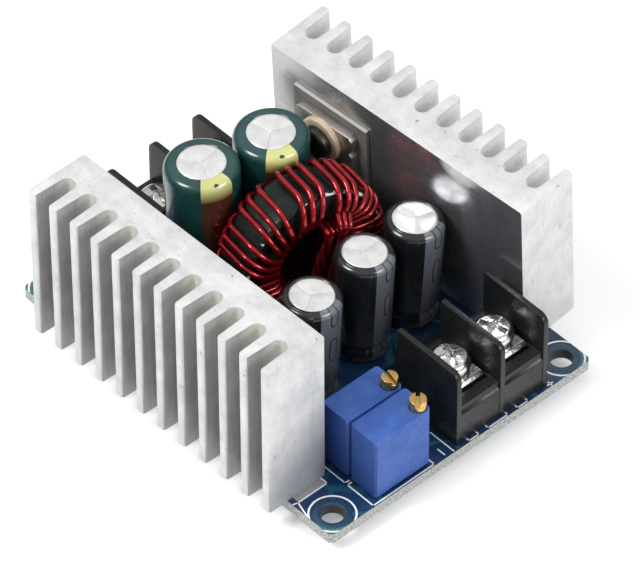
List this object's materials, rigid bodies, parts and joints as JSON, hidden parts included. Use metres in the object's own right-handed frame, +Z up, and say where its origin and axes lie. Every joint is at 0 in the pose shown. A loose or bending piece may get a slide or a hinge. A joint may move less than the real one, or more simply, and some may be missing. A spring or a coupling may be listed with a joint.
{
  "type": "step_down_converter_module",
  "caption": "Adjustable step-down power converter board with finned heatsinks, a ring-core inductor, capacitors, trimmers and screw terminals",
  "frame": {"origin": "centre of the four mounting holes, on the underside of the board", "axes": "+X along the board to the output terminal, +Y across it to the regulator's heatsink, +Z up out of the component side"},
  "size_m": [0.06, 0.0544, 0.0291],
  "materials": {
    "resistor_ceramic": "glazed ceramic",
    "board_mask": "dark blue solder mask over glass-fibre board",
    "case_black": "moulded epoxy",
    "tinned_metal": "tinned metal",
    "screw_black": "blackened steel with a bright rim",
    "lamp_lens": "clear resin",
    "core_coating": "dark powder coat",
    "enamelled_wire": "red enamel over copper",
    "trimmer_blue": "moulded blue plastic",
    "brass": "turned brass",
    "can_aluminium": "bright scored can top",
    "sleeve_green": "shrink sleeve with a pale stripe",
    "terminal_black": "moulded black plastic",
    "bush_plastic": "moulded nylon",
    "sink_aluminium": "mill finish with brush marks",
    "pad_grey": "soft silicone pad",
    "sleeve_black": "shrink sleeve with a grey stripe",
    "plated_copper": "dull tin plate",
    "solder": "bright solder"
  },
  "bodies": {
    "board_assembly": {"chip_resistors": "resistor_ceramic", "circuit_board": "board_mask", "control_amplifier": "case_black", "control_amplifier_pins": "tinned_metal", "current_sense_resistors": "resistor_ceramic", "heatsink_pins": "tinned_metal", "heatsink_screws": "screw_black", "indicator_lamps": "lamp_lens", "inductor_core": "core_coating", "inductor_wire_a": "enamelled_wire", "inductor_wire_b": "enamelled_wire", "inductor_wire_c": "enamelled_wire", "inner_trimmer_body": "trimmer_blue", "inner_trimmer_pins": "tinned_metal", "input_capacitor_left_can": "can_aluminium", "input_capacitor_left_leads": "tinned_metal", "input_capacitor_left_sleeve": "sleeve_green", "input_capacitor_right_can": "can_aluminium", "input_capacitor_right_leads": "tinned_metal", "input_capacitor_right_sleeve": "sleeve_green", "input_terminal_contacts": "tinned_metal", "input_terminal_housing": "terminal_black", "insulating_bushes": "bush_plastic", "left_heatsink": "sink_aluminium", "left_insulating_pad": "pad_grey", "outer_trimmer_body": "trimmer_blue", "outer_trimmer_pins": "tinned_metal", "output_capacitor_left_can": "can_aluminium", "output_capacitor_left_leads": "tinned_metal", "output_capacitor_left_sleeve": "sleeve_black", "output_capacitor_middle_can": "can_aluminium", "output_capacitor_middle_leads": "tinned_metal", "output_capacitor_middle_sleeve": "sleeve_black", "output_capacitor_right_can": "can_aluminium", "output_capacitor_right_leads": "tinned_metal", "output_capacitor_right_sleeve": "sleeve_black", "output_terminal_contacts": "tinned_metal", "output_terminal_housing": "terminal_black", "rectifier_diode_case": "case_black", "rectifier_diode_leads": "tinned_metal", "rectifier_diode_tab": "plated_copper", "right_heatsink": "sink_aluminium", "right_insulating_pad": "pad_grey", "solder_joints": "solder", "switching_regulator_case": "case_black", "switching_regulator_leads": "tinned_metal", "switching_regulator_tab": "plated_copper"},
    "outer_trimmer_screw": {"outer_trimmer_screw": "brass"},
    "inner_trimmer_screw": {"inner_trimmer_screw": "brass"},
    "input_clamp_a": {"input_terminal_screw_a": "tinned_metal", "input_clamp_plate_a": "tinned_metal"},
    "input_clamp_b": {"input_terminal_screw_b": "tinned_metal", "input_clamp_plate_b": "tinned_metal"},
    "output_clamp_a": {"output_terminal_screw_a": "tinned_metal", "output_clamp_plate_a": "tinned_metal"},
    "output_clamp_b": {"output_terminal_screw_b": "tinned_metal", "output_clamp_plate_b": "tinned_metal"}
  },
  "joints": [
    {"name": "outer_trimmer_turn", "type": "hinge", "parent": "board_assembly", "child": "outer_trimmer_screw", "pos_m": [0.02799, -0.00613, 0.013], "axis": [0, 0, 1], "continuous": true},
    {"name": "inner_trimmer_turn", "type": "hinge", "parent": "board_assembly", "child": "inner_trimmer_screw", "pos_m": [0.02271, -0.00613, 0.013], "axis": [0, 0, 1], "continuous": true},
    {"name": "input_clamp_a_lift", "type": "slide", "parent": "board_assembly", "child": "input_clamp_a", "axis": [0, 0, 1], "range_m": [0, 0.0026]},
    {"name": "input_clamp_b_lift", "type": "slide", "parent": "board_assembly", "child": "input_clamp_b", "axis": [0, 0, 1], "range_m": [0, 0.0026]},
    {"name": "output_clamp_a_lift", "type": "slide", "parent": "board_assembly", "child": "output_clamp_a", "axis": [0, 0, 1], "range_m": [0, 0.0026]},
    {"name": "output_clamp_b_lift", "type": "slide", "parent": "board_assembly", "child": "output_clamp_b", "axis": [0, 0, 1], "range_m": [0, 0.0026]}
  ]
}
